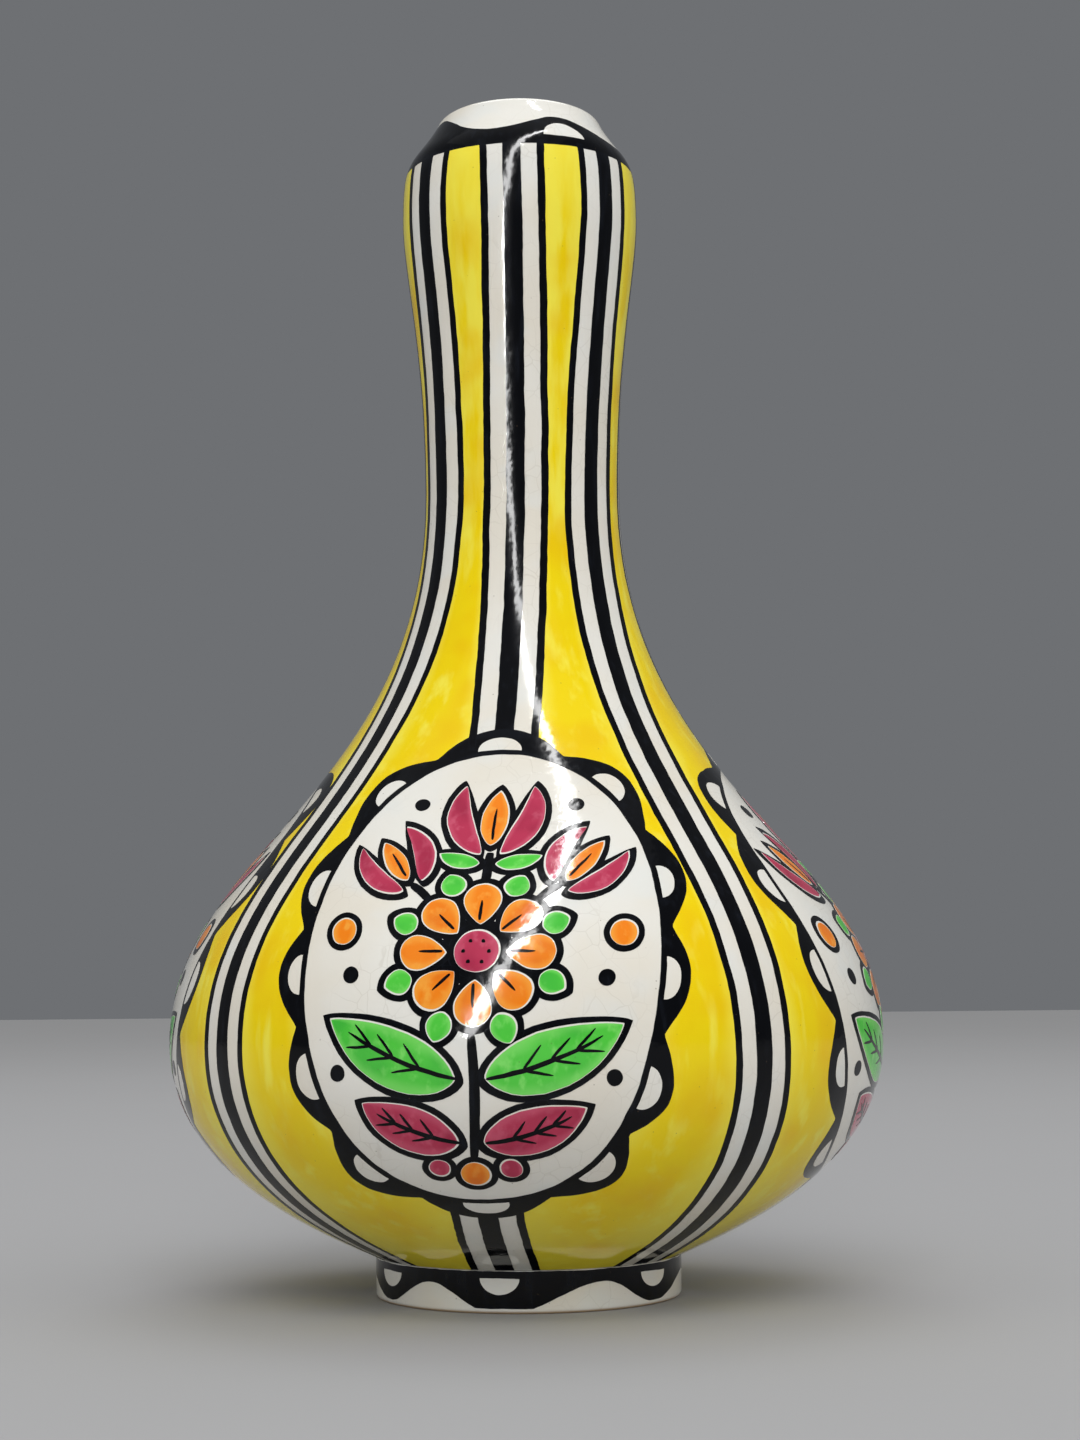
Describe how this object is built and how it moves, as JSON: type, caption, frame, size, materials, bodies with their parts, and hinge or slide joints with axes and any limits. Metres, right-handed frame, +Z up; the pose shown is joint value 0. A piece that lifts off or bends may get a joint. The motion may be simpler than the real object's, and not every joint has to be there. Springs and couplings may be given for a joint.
{
  "type": "bottle vase",
  "caption": "Glazed earthenware bottle vase with a low round belly, a slender waisted neck, a bulged mouth and a foot ring, for standing cut flowers in.",
  "frame": {"origin": "centre of the foot ring's lower face, on the surface that the vase stands on", "axes": "+Z up the vase's axis; +X and +Y level, with -Y towards the side that the picture shows"},
  "size_m": [0.142, 0.142, 0.24],
  "materials": {
    "cream_glaze": "gloss",
    "yellow_enamel": "gloss",
    "black_enamel": "gloss",
    "green_enamel": "gloss",
    "orange_enamel": "gloss",
    "crimson_enamel": "gloss"
  },
  "bodies": {
    "root": {"foot_ring": "cream_glaze", "lower_body": "yellow_enamel", "upper_body": "yellow_enamel", "neck": "yellow_enamel", "mouth_ring": "cream_glaze"}
  },
  "joints": []
}
